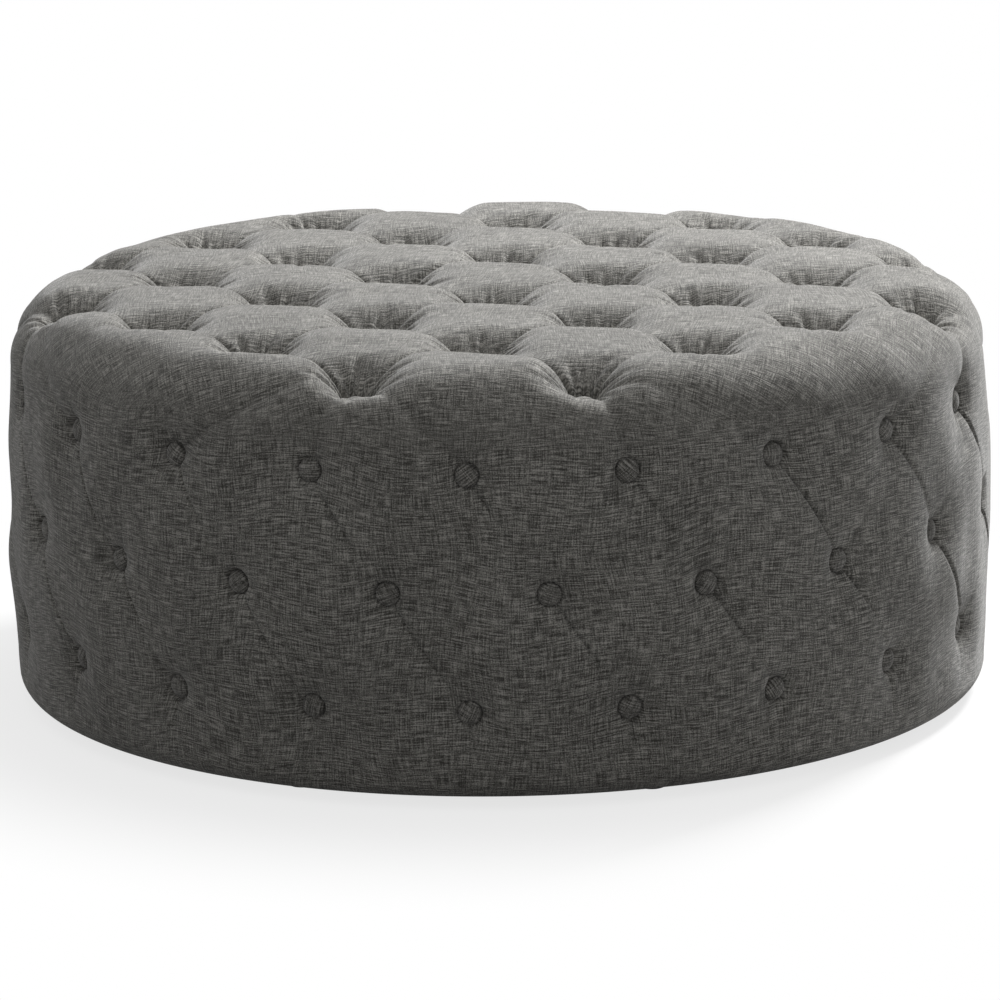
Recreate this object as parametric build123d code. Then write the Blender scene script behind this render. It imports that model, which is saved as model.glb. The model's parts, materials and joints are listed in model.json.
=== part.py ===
"""Round tufted ottoman coffee table: covered drum on a timber and plywood frame.

Frame of the model: millimetres, +Z up, origin on the floor under the middle, front towards -Y.
From outside in: padded cover, foam, then a bent hoop and a deck on posts, a ring and rails.
"""
import math
import os

from build123d import *

# Whole object
overall_diameter = 1100.0
overall_height = 466.0
foot_height = 9.0
top_crown = 8.0
fit_gap = 0.3
cut_over = 20.0

# Outline of the padded drum
shoulder_radius = 82.0
shoulder_lift = 2.0
shoulder_lean = 4.0
base_tuck = 8.0
base_edge_radius = 20.0

# Soft layers
cover_thickness = 1.5
least_cover = 2.5
side_foam_thickness = 17.0
pad_depth = 69.0
pillow_fill_depth = 37.0
pad_edge_chamfer = 14.0
pad_hole_radius = 38.0
pad_hole_floor_radius = 17.0
cover_turn_under = 62.0

# Diamond tufts of the top
tuft_spacing = 117.0
tuft_dome_radius = 175.0
tuft_reach = 4.2
dome_reach = 5.2
top_seat_depth = 46.0
pocket_flare_angle = 30.0
pocket_height = 31.0
core_depth = 62.0
core_overlap = 6.0

# Buttoned side
side_columns = 20
front_angle = -90.0
side_row_heights = {"lower": 102.0, "middle": 228.0, "upper": 354.0}
side_dimple_radius = 66.0
side_dimple_depth = 19.0
side_dimple_edge_angle = 6.0

# Covered buttons, twine and washers
button_diameter = 25.0
button_crown = 6.0
button_rim = 2.5
shank_diameter = 4.0
shank_length = 3.0
seat_clearance = 1.5
twine_diameter = 1.6
twine_hole_diameter = 5.0
knot_diameter = 5.0
washer_diameter = 16.0
washer_thickness = 1.5

# Frame
deck_thickness = 15.0
hoop_thickness = 5.0
ring_width = 75.0
ring_thickness = 18.0
post_count = 8
post_size = 40.0
rail_width = 40.0
rail_height = 45.0
rail_arm_count = 4
centre_post_size = 60.0
glue_block_size = 28.0
glue_block_length = 34.0

# Fasteners
screw_diameter = 4.5
screw_head_diameter = 9.0
screw_head_height = 3.0
screw_length = 50.0
screw_spread = 24.0
pilot_clearance = 0.1
rail_screw_count = 3
hoop_nail_count = 16
nail_diameter = 2.0
nail_head_diameter = 5.0
nail_head_thickness = 0.8
nail_length = 25.0
staple_width = 10.0
staple_leg = 8.0
staple_wire = 0.8
cover_staple_count = 40
cover_staple_shift = 6.0
dust_staple_count = 24
dust_staple_inset = 6.0

# Underside
dust_cover_thickness = 0.8
dust_cover_margin = 12.0
glide_diameter = 30.0
glide_nail_diameter = 3.5
glide_nail_head = 10.0
glide_head_thickness = 2.0
glide_head_recess = 2.5
glide_nail_length = 21.0

# Worked-out radii and levels
outer_radius = overall_diameter / 2
base_level = foot_height + dust_cover_thickness + staple_wire + 2 * pilot_clearance
flange_top = base_level + cover_thickness
frame_base = flange_top + fit_gap
deck_top = overall_height - pad_depth
deck_base = deck_top - deck_thickness
shoulder_centre_radius = outer_radius - shoulder_lean - shoulder_radius
side_mid_level = (base_level + base_edge_radius + overall_height - shoulder_radius) / 2
ring_top = frame_base + ring_thickness
post_height = deck_base - ring_top
post_step = 360.0 / post_count
first_post_angle = post_step / 2
button_radius = button_diameter / 2
flange_inner_radius = outer_radius - cover_turn_under - base_tuck
dust_cover_top = foot_height + dust_cover_thickness
dust_cover_radius = outer_radius - base_tuck - base_edge_radius - dust_cover_margin


def top_level(radius):
    """Height of the crowned top at a distance from the middle."""
    return overall_height - top_crown * (radius / outer_radius) ** 2


shoulder_level = top_level(shoulder_centre_radius) + shoulder_lift - shoulder_radius


def side_arc_radius():
    """Radius of the slightly bulged side, seen in section."""
    half_chord = side_mid_level - base_level - base_edge_radius
    return (half_chord**2 + base_tuck**2) / (2 * base_tuck)


def side_lean(level):
    """Angle by which the bulged side faces up, or down below its middle, in radians."""
    return math.asin((level - side_mid_level) / side_arc_radius())


def side_radius(level):
    """Radius of the bulged side at a level, away from the dimples."""
    return outer_radius - side_arc_radius() * (1 - math.cos(side_lean(level)))


least_seat_radius = min(map(side_radius, side_row_heights.values())) - side_dimple_depth
band_outer_radius = least_seat_radius - least_cover - fit_gap
hoop_outer_radius = band_outer_radius - side_foam_thickness
hoop_inner_radius = hoop_outer_radius - hoop_thickness
board_radius = hoop_inner_radius - fit_gap
ring_inner_radius = board_radius - ring_width
post_face_radius = math.sqrt(board_radius**2 - (post_size / 2) ** 2)
post_radius = post_face_radius - post_size / 2
band_low = base_level + base_edge_radius
pad_top = overall_height - pillow_fill_depth


def outline():
    """Turned drum with a rounded shoulder, a slightly bulged side and a rounded foot."""
    edge_x = outer_radius - base_tuck - base_edge_radius
    edge_z = base_level + base_edge_radius
    diagonal = math.sqrt(0.5)
    foot = (edge_x, base_level)
    side_low = (edge_x + base_edge_radius, edge_z)
    side_high = (shoulder_centre_radius + shoulder_radius, shoulder_level)
    top_start = (shoulder_centre_radius, shoulder_level + shoulder_radius)
    with BuildPart() as drum:
        with BuildSketch(Plane.XZ):
            with BuildLine():
                Line((0, base_level), foot)
                ThreePointArc(
                    foot,
                    (edge_x + base_edge_radius * diagonal, edge_z - base_edge_radius * diagonal),
                    side_low,
                )
                ThreePointArc(side_low, (outer_radius, side_mid_level), side_high)
                ThreePointArc(
                    side_high,
                    (
                        shoulder_centre_radius + shoulder_radius * diagonal,
                        shoulder_level + shoulder_radius * diagonal,
                    ),
                    top_start,
                )
                Polyline(top_start, (0, overall_height + shoulder_lift), (0, base_level))
            make_face()
        revolve(axis=Axis.Z)
    return drum.part


def lattice(reach, parity):
    """Places of the square lattice within reach, every other one, as on a chess board."""
    steps = range(-math.ceil(reach), math.ceil(reach) + 1)
    return [
        (column * tuft_spacing, row * tuft_spacing)
        for column in steps
        for row in steps
        if (column + row) % 2 == parity and math.hypot(column, row) <= reach
    ]


dome_places = lattice(dome_reach, 0)
top_button_places = lattice(tuft_reach, 1)


def top_seat_level(x, y):
    return top_level(math.hypot(x, y)) - top_seat_depth


def top_frames(drop=0.0):
    """Locations of the top buttons on their seats, shifted down by drop."""
    return [Location((x, y, top_seat_level(x, y) - drop)) for x, y in top_button_places]


def side_frames(row, drop=0.0):
    """Locations on one row of the side, Z axis outwards, shifted inwards by drop."""
    level = side_row_heights[row]
    lean = side_lean(level)
    radius = side_radius(level)
    offset_share = 0.5 if row == "middle" else 0.0
    frames = []
    for column in range(side_columns):
        turn = (column + offset_share) * 360 / side_columns
        angle = math.radians(turn + front_angle)
        outward = Vector(
            math.cos(angle) * math.cos(lean), math.sin(angle) * math.cos(lean), math.sin(lean)
        )
        mouth = Vector(radius * math.cos(angle), radius * math.sin(angle), level)
        plane = Plane(origin=mouth - outward * drop, z_dir=outward)
        frames.append(Location(plane))
    return frames


def all_side_frames(drop=0.0):
    return [frame for row in side_row_heights for frame in side_frames(row, drop)]


def side_dimple():
    """Trumpet-shaped hollow round one side button, its mouth on the plane Z=0."""
    tilt = math.radians(side_dimple_edge_angle)
    seat = button_radius + seat_clearance
    width = side_dimple_radius - seat
    depth = side_dimple_depth
    arc = (width**2 + depth**2) / (2 * (depth * math.cos(tilt) - width * math.sin(tilt)))
    centre = (side_dimple_radius + arc * math.sin(tilt), -arc * math.cos(tilt))
    half = (tilt + math.asin((centre[0] - seat) / arc)) / 2
    middle = (centre[0] - arc * math.sin(half), centre[1] + arc * math.cos(half))
    mouth = (side_dimple_radius, 0)
    with BuildPart() as dimple:
        with BuildSketch(Plane.XZ):
            with BuildLine():
                ThreePointArc(mouth, middle, (seat, -depth))
                Polyline((seat, -depth), (0, -depth), (0, cut_over), (mouth[0], cut_over), mouth)
            make_face()
        revolve(axis=Axis.Z)
    return dimple.part


def top_pocket():
    """Flared pocket that a top button is pulled into, its floor on the plane Z=0."""
    floor_radius = button_radius + seat_clearance
    flare = pocket_height * math.tan(math.radians(pocket_flare_angle))
    return Cone(
        floor_radius,
        floor_radius + flare,
        pocket_height,
        align=(Align.CENTER, Align.CENTER, Align.MIN),
    )


def one_solid(shape):
    """The largest solid of a boolean result."""
    return max(shape.solids(), key=lambda piece: piece.volume)


def tufted_drum():
    """Whole outer form: crowned pillows on the top and buttoned dimples round the side."""
    cap_depth = core_depth + core_overlap + top_crown
    cap_angle = math.degrees(math.asin((tuft_dome_radius - cap_depth) / tuft_dome_radius))
    cap = Solid.make_sphere(tuft_dome_radius, angle1=cap_angle, angle2=90)
    caps = [
        Pos(x, y, top_level(math.hypot(x, y)) - tuft_dome_radius) * cap for x, y in dome_places
    ]
    core = Solid.make_cylinder(outer_radius + cut_over, overall_height - core_depth)
    pillows = one_solid(core.fuse(*caps))
    drum = one_solid(outline().intersect(pillows))
    pocket = top_pocket()
    drum = one_solid(drum.cut(*[frame * pocket for frame in top_frames()]))
    dimple = side_dimple()
    return one_solid(drum.cut(*[frame * dimple for frame in all_side_frames()]))


def disc(radius, low, high, hole=0.0):
    """Flat disc or ring between two levels."""
    plate = Pos(0, 0, low) * Solid.make_cylinder(radius, high - low)
    if hole:
        plate = plate.cut(Pos(0, 0, low - cut_over) * Solid.make_cylinder(hole, high - low + 2 * cut_over))
    return plate


def rod(radius, length, start=0.0):
    """Rod that points inwards, along -Z, from the plane Z=start of its place."""
    return Pos(0, 0, start - length) * Solid.make_cylinder(radius, length)


def write(name, solids):
    """Write the solids of one node as a STEP file."""
    pieces = solids if isinstance(solids, (list, tuple)) else [solids]
    flat = [solid for piece in pieces for solid in piece.solids()]
    shape = flat[0] if len(flat) == 1 else Compound(children=flat)
    shape.label = name
    export_step(shape, os.path.join("parts", name + ".step"))


def pad_blank(grow=0.0):
    """Firm top slab of foam before its button holes, chamfered round its upper edge."""
    radius = hoop_outer_radius + grow
    shoulder = (radius, pad_top + grow - pad_edge_chamfer)
    crown = (radius - pad_edge_chamfer, pad_top + grow)
    low = deck_top + fit_gap - grow
    outline_points = [(0, low), (radius, low), shoulder, crown, (0, pad_top + grow), (0, low)]
    with BuildPart() as pad:
        with BuildSketch(Plane.XZ):
            with BuildLine():
                Polyline(outline_points)
            make_face()
        revolve(axis=Axis.Z)
    return pad.part


def pad_hole(shrink=0.0):
    """Tapered hole in the foam under a top button, its floor just below the button's seat."""
    below = least_cover + fit_gap - shrink
    height = pad_top - overall_height + top_crown + top_seat_depth + below + cut_over
    slope = (pad_hole_radius - pad_hole_floor_radius) / (height - cut_over - top_crown)
    cone = Cone(
        pad_hole_floor_radius - shrink,
        pad_hole_floor_radius - shrink + slope * height,
        height,
        align=(Align.CENTER, Align.CENTER, Align.MIN),
    )
    return Pos(0, 0, -below) * cone


def soft_layers():
    """Padded cover over the firm foam of the top and of the side."""
    hole_radius = twine_hole_diameter / 2
    reach = side_dimple_depth + side_foam_thickness + hoop_thickness + cut_over
    side_holes = [frame * rod(hole_radius, reach) for frame in all_side_frames()]
    top_hole = rod(hole_radius, pad_depth)
    top_holes = [frame * top_hole for frame in top_frames(-pocket_height / 2)]

    plug = pad_hole(fit_gap)
    foam_room = one_solid(pad_blank(fit_gap).cut(*[frame * plug for frame in top_frames()]))
    band_room = disc(band_outer_radius + fit_gap, band_low - fit_gap, deck_top + fit_gap)
    frame_room = disc(hoop_outer_radius + fit_gap, flange_top, band_low + cut_over)
    room = one_solid(foam_room.fuse(band_room, frame_room))
    cover = one_solid(tufted_drum().cut(room))
    cover = one_solid(cover.cut(disc(flange_inner_radius, base_level - cut_over, flange_top + cut_over)))
    cover = one_solid(cover.cut(*side_holes, *top_holes))
    write("upholstery_cover", one_solid(cover.cut(*flange_cuts())))

    socket = pad_hole()
    pad = one_solid(pad_blank().cut(*[frame * socket for frame in top_frames()]))
    write("foam_top_pad", one_solid(pad.cut(*top_holes)))
    band = disc(band_outer_radius, band_low, deck_top, hole=hoop_outer_radius + fit_gap)
    write("foam_side_band", one_solid(band.cut(*side_holes)))


def covered_button():
    """Covered button: flat back on the plane Z=0, domed front and a short shank behind."""
    with BuildPart() as button:
        with BuildSketch(Plane.XZ):
            with BuildLine():
                shank = shank_diameter / 2
                rim = (button_radius, button_rim)
                crown = (0, button_rim + button_crown)
                Polyline((0, -shank_length), (shank, -shank_length), (shank, 0), (button_radius, 0), rim)
                arc = (button_radius**2 + button_crown**2) / (2 * button_crown)
                half = math.asin(button_radius / arc) / 2
                middle = (arc * math.sin(half), crown[1] - arc * (1 - math.cos(half)))
                ThreePointArc(rim, middle, crown)
                Line(crown, (0, -shank_length))
            make_face()
        revolve(axis=Axis.Z)
    return button.part


def twine(length):
    """Twine that hangs along -Z from the shank and ends in a knot behind its washer."""
    strand = rod(twine_diameter / 2, length - shank_length, -shank_length)
    knot = Pos(0, 0, -length - knot_diameter / 2 + twine_diameter / 2) * Solid.make_sphere(
        knot_diameter / 2, angle1=-90, angle2=90
    )
    return strand.fuse(knot)


def washer():
    """Washer whose outer face is on the plane Z=0."""
    plate = rod(washer_diameter / 2, washer_thickness)
    return plate.cut(rod(twine_diameter / 2 + pilot_clearance, washer_thickness + cut_over, cut_over / 2))


def buttons_and_twine():
    """Buttons on their seats, each tied through the padding to a washer on the frame."""
    button = covered_button()
    write("top_buttons", [frame * button for frame in top_frames(-fit_gap)])
    twines = []
    washers = []
    plate = washer()
    for frame in top_frames(-fit_gap):
        drop = frame.position.Z - deck_base + fit_gap
        twines.append(frame * twine(drop + washer_thickness))
        washers.append(Pos(frame.position.X, frame.position.Y, deck_base - fit_gap) * plate)
    write("top_button_twines", twines)
    write("top_twine_washers", washers)

    twines = []
    washers = []
    for row in side_row_heights:
        frames = side_frames(row, side_dimple_depth - fit_gap)
        write("side_buttons_" + row, [frame * button for frame in frames])
        for frame in frames:
            seat_radius = math.hypot(frame.position.X, frame.position.Y)
            drop = seat_radius - hoop_inner_radius + 2 * fit_gap
            twines.append(frame * twine(drop + washer_thickness))
            washers.append(frame * Pos(0, 0, -drop) * plate)
    write("side_button_twines", twines)
    write("side_twine_washers", washers)


def around(count, radius, first=0.0):
    """Locations on a circle, X axis outwards."""
    return [
        Rot(0, 0, first + number * 360 / count) * Pos(radius, 0, 0) for number in range(count)
    ]


def screw(length):
    """Countersunk screw along -Z, the top of its head on the plane Z=0."""
    with BuildPart() as piece:
        with BuildSketch(Plane.XZ):
            with BuildLine():
                head = screw_head_diameter / 2
                core = screw_diameter / 2
                Polyline(
                    (0, 0), (head, 0), (core, -screw_head_height), (core, -length + core),
                    (0, -length), (0, 0),
                )
            make_face()
        revolve(axis=Axis.Z)
    return piece.part


def screw_hole(length):
    """Hole for a screw, a hair wider and deeper all over."""
    with BuildPart() as piece:
        with BuildSketch(Plane.XZ):
            with BuildLine():
                head = screw_head_diameter / 2 + pilot_clearance
                core = screw_diameter / 2 + pilot_clearance
                foot = -length - pilot_clearance
                top = pilot_clearance
                Polyline(
                    (0, cut_over), (head, cut_over), (head, 0), (core, -screw_head_height - top),
                    (core, foot + core), (0, foot), (0, cut_over),
                )
            make_face()
        revolve(axis=Axis.Z)
    return piece.part


def post_screw_places():
    """Pairs of screws in the ends of the posts, in the plan of the frame."""
    places = []
    for frame in around(post_count, post_radius, first_post_angle):
        places += [frame * Pos(0, side * screw_spread / 2, 0) for side in (-1, 1)]
    return places


def rail_angle(number):
    """The rails run along the diagonals, between the rows of top buttons."""
    return (number + 0.5) * 360 / rail_arm_count


def rail_screw_places():
    """Screws down through the deck into the rails, clear of the middle."""
    reach = board_radius - rail_width
    places = []
    for number in range(rail_arm_count):
        for step in range(rail_screw_count):
            distance = reach * (step + 1) / rail_screw_count
            places.append(Rot(0, 0, rail_angle(number)) * Pos(distance, 0, 0))
    return places


def nail(grow=0.0):
    """Nail along -Z, its flat head let in flush with the plane Z=0."""
    shaft = rod(nail_diameter / 2 + grow, nail_length + grow)
    return one_solid(shaft.fuse(rod(nail_head_diameter / 2 + grow, nail_head_thickness + grow)))


def hoop_nail_frames():
    """Nails through the hoop into the edges of the deck and of the base ring."""
    frames = []
    for level in (deck_base + deck_thickness / 2, frame_base + ring_thickness / 2):
        for number in range(hoop_nail_count):
            angle = math.radians((number + 0.5) * 360 / hoop_nail_count)
            outward = Vector(math.cos(angle), math.sin(angle), 0)
            origin = outward * hoop_outer_radius + Vector(0, 0, level)
            frames.append(Location(Plane(origin=origin, z_dir=outward)))
    return frames


def rail_pair(low, reach):
    """Two crossing rails, halved into each other in the middle."""
    middle = low + rail_height / 2
    notch_width = rail_width + fit_gap
    notch_levels = [
        (low - cut_over, middle + fit_gap / 2),
        (middle - fit_gap / 2, low + rail_height + cut_over),
    ]
    rails = []
    for number, (notch_low, notch_high) in enumerate(notch_levels):
        bar = Pos(0, 0, middle) * Box(2 * reach, rail_width, rail_height)
        notch = Pos(0, 0, (notch_low + notch_high) / 2) * Box(
            notch_width, notch_width, notch_high - notch_low
        )
        rails.append(Rot(0, 0, rail_angle(number)) * bar.cut(notch))
    return rails


def glue_blocks():
    """Triangular blocks glued between the sides of the posts and the deck."""
    blocks = []
    leg = glue_block_size
    face = post_size / 2
    for side in (-1, 1):
        corner = (side * face, deck_base)
        along = (side * (face + leg), deck_base)
        down = (side * face, deck_base - leg)
        profile = Plane.YZ * make_face(Polyline(corner, along, down, corner))
        block = Pos(-glue_block_length / 2, 0, 0) * extrude(profile, glue_block_length, dir=(1, 0, 0))
        blocks += [frame * block for frame in around(post_count, post_radius, first_post_angle)]
    return blocks


def timber_frame():
    """Deck, hoop, base ring, posts and rails, with their screws and nails."""
    long_screw = screw(screw_length)
    long_hole = screw_hole(screw_length)
    down = Pos(0, 0, deck_top)
    deck_screws = [down * place * long_screw for place in post_screw_places()]
    rail_screws = [down * place * long_screw for place in rail_screw_places()]
    deck_holes = [down * place * long_hole for place in post_screw_places() + rail_screw_places()]
    flip = Pos(0, 0, frame_base) * Rot(180, 0, 0)
    base_screws = [flip * place * long_screw for place in post_screw_places()]
    base_holes = [flip * place * long_hole for place in post_screw_places()]
    nails = [frame * nail() for frame in hoop_nail_frames()]
    nail_hole = nail(pilot_clearance)
    nail_holes = [frame * nail_hole for frame in hoop_nail_frames()]

    twine_radius = twine_hole_diameter / 2
    deck = disc(board_radius, deck_base, deck_top)
    deck = deck.cut(*deck_holes, *nail_holes)
    deck = one_solid(deck).cut(
        *[Pos(x, y, deck_top + cut_over) * rod(twine_radius, deck_thickness + 2 * cut_over)
          for x, y in top_button_places]
    )
    ring = disc(board_radius, frame_base, ring_top, hole=ring_inner_radius)
    ring = one_solid(ring).cut(*base_holes, *nail_holes, *staple_cuts(), *glide_nail_cuts())
    hoop = disc(hoop_outer_radius, frame_base, deck_top, hole=hoop_inner_radius)
    reach = side_foam_thickness + hoop_thickness + cut_over
    hoop = one_solid(hoop).cut(
        *nail_holes, *[frame * rod(twine_radius, reach) for frame in all_side_frames(side_dimple_depth)]
    )
    post = Pos(0, 0, ring_top + post_height / 2) * Box(post_size, post_size, post_height)
    posts = []
    for frame in around(post_count, post_radius, first_post_angle):
        posts.append((frame * post).cut(*deck_holes, *base_holes))
    top_rails = rail_pair(deck_base - rail_height, post_face_radius)
    top_rails = [one_solid(rail).cut(*deck_holes) for rail in top_rails]
    low_rails = rail_pair(ring_top, post_face_radius)
    centre_low = ring_top + rail_height
    centre_high = deck_base - rail_height
    centre = Pos(0, 0, (centre_low + centre_high) / 2) * Rot(0, 0, rail_angle(0)) * Box(
        centre_post_size, centre_post_size, centre_high - centre_low
    )
    write("top_deck", deck)
    write("base_ring", ring)
    write("side_hoop", hoop)
    write("posts", posts)
    write("deck_rail_lower_half", top_rails[0])
    write("deck_rail_upper_half", top_rails[1])
    write("base_rail_lower_half", low_rails[0])
    write("base_rail_upper_half", low_rails[1])
    write("centre_post", centre)
    write("glue_blocks", glue_blocks())
    write("deck_screws", deck_screws)
    write("rail_screws", rail_screws)
    write("base_screws", base_screws)
    write("hoop_nails", nails)


def staple(grow=0.0):
    """Staple pushed up along +Z: its crown lies just under the plane Z=0."""
    wire = staple_wire + 2 * grow
    wide = staple_width + 2 * grow
    crown = Pos(0, 0, -staple_wire / 2 - pilot_clearance) * Box(wire, wide, wire)
    high = staple_leg + grow
    legs = [
        Pos(0, side * (staple_width - staple_wire) / 2, high / 2 - staple_wire / 2 - pilot_clearance)
        * Box(wire, wire, high + staple_wire)
        for side in (-1, 1)
    ]
    return crown.fuse(*legs)


def cover_staple_frames():
    """Staples that hold the turned-under cover, along the middle of its flange."""
    radius = (flange_inner_radius + hoop_outer_radius) / 2 - cover_staple_shift
    return [Pos(0, 0, base_level) * frame for frame in around(cover_staple_count, radius)]


def dust_staple_frames():
    """Staples near the edge of the dust cover."""
    radius = dust_cover_radius - dust_staple_inset
    half_cover_staple_step = 180 / cover_staple_count
    places = around(dust_staple_count, radius, half_cover_staple_step)
    return [Pos(0, 0, foot_height) * frame for frame in places]


def staple_cuts():
    grown = staple(pilot_clearance)
    return [frame * grown for frame in cover_staple_frames() + dust_staple_frames()]


def glide_places():
    return around(post_count, post_radius, first_post_angle)


def glide_nail_cuts():
    hole = Pos(0, 0, glide_head_recess) * Solid.make_cylinder(
        glide_nail_diameter / 2 + pilot_clearance, glide_nail_length + pilot_clearance
    )
    return [frame * hole for frame in glide_places()]


def flange_cuts():
    """Holes in the turned-under edge of the cover."""
    return staple_cuts() + glide_nail_cuts()


def underside():
    """Dust cover, its staples and the nailed glides that the table stands on."""
    dust_cover = disc(dust_cover_radius, foot_height, dust_cover_top)
    grown = staple(pilot_clearance)
    cuts = [frame * grown for frame in dust_staple_frames()] + glide_nail_cuts()
    write("dust_cover", one_solid(dust_cover.cut(*cuts)))
    write("cover_staples", [frame * staple() for frame in cover_staple_frames()])
    write("dust_cover_staples", [frame * staple() for frame in dust_staple_frames()])

    pad = Solid.make_cylinder(glide_diameter / 2, foot_height)
    pad = fillet(pad.edges().sort_by(Axis.Z)[0:1], glide_head_recess / 2)
    head_hole = Pos(0, 0, -cut_over) * Solid.make_cylinder(
        glide_nail_head / 2 + pilot_clearance, glide_head_recess + glide_head_thickness + cut_over
    )
    shaft_hole = Solid.make_cylinder(glide_nail_diameter / 2 + pilot_clearance, foot_height + cut_over)
    pad = one_solid(pad.cut(head_hole, shaft_hole))
    pin = Pos(0, 0, glide_head_recess) * Solid.make_cylinder(glide_nail_diameter / 2, glide_nail_length)
    head = Pos(0, 0, glide_head_recess) * Solid.make_cylinder(glide_nail_head / 2, glide_head_thickness)
    write("glide_pads", [frame * pad for frame in glide_places()])
    write("glide_nails", [frame * pin.fuse(head) for frame in glide_places()])


os.makedirs("parts", exist_ok=True)
soft_layers()
buttons_and_twine()
timber_frame()
underside()
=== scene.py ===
import json
import math

import bpy
import numpy as np
from mathutils import Euler, Matrix, Vector


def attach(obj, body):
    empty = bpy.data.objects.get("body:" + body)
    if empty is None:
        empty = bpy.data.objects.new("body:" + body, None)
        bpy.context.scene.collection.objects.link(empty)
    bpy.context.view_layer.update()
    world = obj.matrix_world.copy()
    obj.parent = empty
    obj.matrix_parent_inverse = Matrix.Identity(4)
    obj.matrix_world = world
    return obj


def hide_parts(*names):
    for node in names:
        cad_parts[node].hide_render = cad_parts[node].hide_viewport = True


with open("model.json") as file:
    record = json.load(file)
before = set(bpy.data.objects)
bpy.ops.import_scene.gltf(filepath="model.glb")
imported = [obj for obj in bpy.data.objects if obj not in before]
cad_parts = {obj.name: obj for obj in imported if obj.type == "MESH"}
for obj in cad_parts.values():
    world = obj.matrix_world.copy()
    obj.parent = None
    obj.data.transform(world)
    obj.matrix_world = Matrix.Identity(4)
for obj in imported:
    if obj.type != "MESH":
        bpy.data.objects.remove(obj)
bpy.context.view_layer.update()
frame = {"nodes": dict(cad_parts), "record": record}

# Shape of the drum, in metres
OUTER_RADIUS = 0.550
TOP_LEVEL = 0.466
CROWN = 0.008
SHOULDER_RADIUS = 0.082
SHOULDER_LEAN = 0.0075
BASE_LEVEL = 0.0108
FLANGE_TOP = 0.0123
FLANGE_RADIUS = 0.480
BASE_EDGE_RADIUS = 0.020
BASE_TUCK = 0.008
SIDE_MIDDLE = (BASE_LEVEL + BASE_EDGE_RADIUS + TOP_LEVEL - SHOULDER_RADIUS) / 2
SIDE_HALF_CHORD = SIDE_MIDDLE - BASE_LEVEL - BASE_EDGE_RADIUS
SIDE_ARC_RADIUS = (SIDE_HALF_CHORD**2 + BASE_TUCK**2) / (2 * BASE_TUCK)

# Tufts and buttons
TUFT_SPACING = 0.117
TUFT_REACH_STEPS = 4.2
LATTICE_STEPS = 5
OUTER_TUFT_DISTANCE = 4.0 * TUFT_SPACING
TOP_SEAT_DEPTH = 0.046
SIDE_COLUMNS = 20
SIDE_STEP = 2 * math.pi / SIDE_COLUMNS
SIDE_HALF_ARC = SIDE_STEP / 2 * OUTER_RADIUS
SIDE_ROWS = {"lower": 0.102, "middle": 0.228, "upper": 0.354}
ROWS_DOWN = (("upper", "middle"), ("middle", "lower"))
SIDE_SEAT_DEPTH = 0.019
SEAT_GAP = 0.0003
BUTTON_RADIUS = 0.0125
BUTTON_RIM = 0.0025
BUTTON_CROWN = 0.006
BUTTON_CROWN_POWER = 0.9
BUTTON_CROWN_POINTS = 8
BUTTON_SKIRT_LEVEL = 0.0012
BUTTON_BACK_LEVEL = 0.0003
BUTTON_UNDERCUT = 0.0008
BUTTON_STEPS = 40
BUTTON_GATHERS = BUTTON_STEPS // 4
BUTTON_GATHER_DEPTH = 0.00035
BUTTON_GATHER_POWER = 6
BUTTON_EYE = 0.001
BUTTON_SEED = 5

# Mesh of the cover, drawn flat and then rolled over the drum
HALF_CELL = TUFT_SPACING / math.sqrt(2)
CELL_STEPS = 26
GRID_STEP = HALF_CELL / CELL_STEPS
GRID_REACH = 0.530
RING_COLUMNS = 1080
RING_STEP = 2 * math.pi * OUTER_RADIUS / RING_COLUMNS
FLANGE_RINGS = 5
MERGE_DISTANCE = RING_STEP / 20
BUTTON_MERGE_DISTANCE = 0.00001
RIM_TOLERANCE = 0.0001
FINE_REACH = 0.042
SIDE_FINE_REACH = 0.028
CREASE_FINE_REACH = 0.004
CREASE_HALF_REACH = 1.1 * HALF_CELL
PAIR_TOLERANCE = TUFT_SPACING / 100

# Camera, worked out from the rows of buttons in the photograph
CAMERA_AZIMUTH = math.radians(3.66)
CAMERA_DISTANCE = 5.995
CAMERA_HEIGHT = 1.6095
CAMERA_PITCH = math.radians(13.2)
CAMERA_ROLL = math.radians(-0.75)
CAMERA_CLIP_END = 50
SENSOR_WIDTH = 36
FOCAL_PIXELS = 5490
FRAME_PIXELS = 1000

# Pillows of the top, and the creases between them
SOFT = 1
FOLDED = -1
TOP_SEED = 7
DOME_DEPTH = 0.005
DOME_POWER = 0.8
DOME_SHARES = {FOLDED: 1.0, SOFT: 0.35}
CREASE_STRENGTHS = (0.75, 1.2)
STEP_DEPTH = 0.008
STEP_LEAST = 0.005
STEP_RUN = 0.070
STEP_NEAR_WIDTH = 0.004
STEP_FAR_WIDTH = 0.024
SOFT_DEPTH = 0.005
SOFT_LEAST = 0.001
SOFT_RUN = 0.045
SOFT_WIDTH = 0.010
SLIT_DEPTH = 0.014
SLIT_LEAST = 0.20
SLIT_RUN = 0.060
SLIT_WIDTH = 0.0027
SOFT_SLIT_STRENGTHS = (0.0, 0.4)
FOLD_LEAN = 0.006
FOLD_WIDTH = 0.009

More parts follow.
